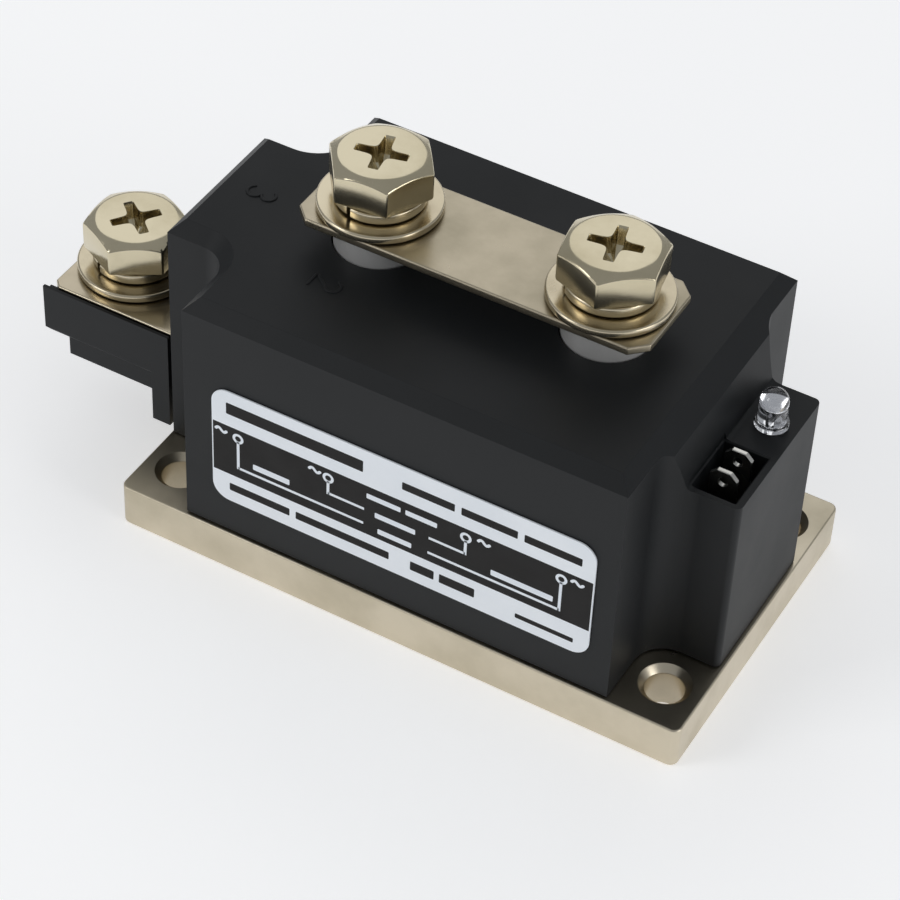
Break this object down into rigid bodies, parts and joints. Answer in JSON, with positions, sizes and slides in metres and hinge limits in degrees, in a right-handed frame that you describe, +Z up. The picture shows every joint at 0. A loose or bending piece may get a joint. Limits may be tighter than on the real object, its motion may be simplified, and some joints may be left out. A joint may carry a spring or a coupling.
{
  "type": "solid state relay",
  "caption": "Black block relay on a plated base plate, with hex-head power screws on a ledge and on a raised link bar, and control tabs beside a clear lamp.",
  "frame": {"origin": "middle of the underside of the base plate", "axes": "+Z up through the posts, +X along the base plate towards the control end, the label faces -Y"},
  "size_m": [0.1336, 0.061, 0.0731],
  "materials": {
    "base_plating": "matt nickel plated steel plate with a warm tint",
    "nickel_plating": "bright nickel plating with a warm tint",
    "post_plating": "turned post, satin plating",
    "tin_plating": "tinned, satin",
    "case_plastic": "charcoal glass-filled thermoset with a soft sheen",
    "label_film": "printed satin film",
    "sealant": "silicone bead",
    "clear_lens": "water clear moulded epoxy",
    "board_laminate": "solder-masked glass epoxy",
    "black_epoxy": "moulded epoxy",
    "yellow_film": "boxed film capacitor",
    "cement": "cement body",
    "cream_lacquer": "lacquered resistor body",
    "blue_lacquer": "epoxy dipped disc",
    "copper": "bare copper",
    "ceramic": "alumina",
    "molybdenum": "molybdenum disc",
    "silicon": "silicon wafer"
  },
  "bodies": {
    "relay": {"base_plate": "base_plating", "case_shell": "case_plastic", "case_seal": "sealant", "label_plate": "label_film", "terminal_1_strap": "nickel_plating", "terminal_1_nut": "nickel_plating", "post_2": "post_plating", "post_3": "post_plating", "link_bar": "nickel_plating", "control_tab_a": "tin_plating", "control_tab_b": "tin_plating", "led_lens": "clear_lens", "led_lead_a": "tin_plating", "led_lead_b": "tin_plating", "control_board": "board_laminate", "bridge_rectifier": "black_epoxy", "input_capacitor": "yellow_film", "optocoupler_a": "black_epoxy", "optocoupler_b": "black_epoxy", "snubber_capacitor": "yellow_film", "snubber_resistor": "cement", "gate_resistor_a": "cream_lacquer", "gate_resistor_b": "cream_lacquer", "input_resistor": "cream_lacquer", "varistor": "blue_lacquer", "ceramic_a": "ceramic", "copper_pad_a": "copper", "moly_disc_a": "molybdenum", "thyristor_a": "silicon", "cathode_plate_a": "copper", "gate_pin_a": "tin_plating", "ceramic_b": "ceramic", "copper_pad_b": "copper", "moly_disc_b": "molybdenum", "thyristor_b": "silicon", "cathode_plate_b": "copper", "gate_pin_b": "tin_plating", "cross_link": "copper", "riser_a": "copper", "riser_b": "copper"},
    "washers_1": {"spring_washer_1": "nickel_plating", "flat_washer_1": "nickel_plating"},
    "screw_1": {"bolt_1": "nickel_plating"},
    "washers_2": {"spring_washer_2": "nickel_plating", "flat_washer_2": "nickel_plating"},
    "screw_2": {"bolt_2": "nickel_plating"},
    "washers_3": {"spring_washer_3": "nickel_plating", "flat_washer_3": "nickel_plating"},
    "screw_3": {"bolt_3": "nickel_plating"}
  },
  "joints": [
    {"name": "screw_1_lift", "type": "slide", "parent": "relay", "child": "washers_1", "axis": [0, 0, 1], "range_m": [0, 0.0075]},
    {"name": "screw_1_turn", "type": "hinge", "parent": "washers_1", "child": "screw_1", "pos_m": [-0.0694, 0, 0], "axis": [0, 0, 1], "range_deg": [0, 1800]},
    {"name": "screw_2_lift", "type": "slide", "parent": "relay", "child": "washers_2", "axis": [0, 0, 1], "range_m": [0, 0.0075]},
    {"name": "screw_2_turn", "type": "hinge", "parent": "washers_2", "child": "screw_2", "pos_m": [-0.0213, 0, 0], "axis": [0, 0, 1], "range_deg": [0, 1800]},
    {"name": "screw_3_lift", "type": "slide", "parent": "relay", "child": "washers_3", "axis": [0, 0, 1], "range_m": [0, 0.0075]},
    {"name": "screw_3_turn", "type": "hinge", "parent": "washers_3", "child": "screw_3", "pos_m": [0.0206, 0, 0], "axis": [0, 0, 1], "range_deg": [0, 1800]}
  ],
  "couplings": [
    {"joint": "screw_1_turn", "follows": "screw_1_lift", "rad_per_m": 4188.7},
    {"joint": "screw_2_turn", "follows": "screw_2_lift", "rad_per_m": 4188.7},
    {"joint": "screw_3_turn", "follows": "screw_3_lift", "rad_per_m": 4188.7}
  ]
}
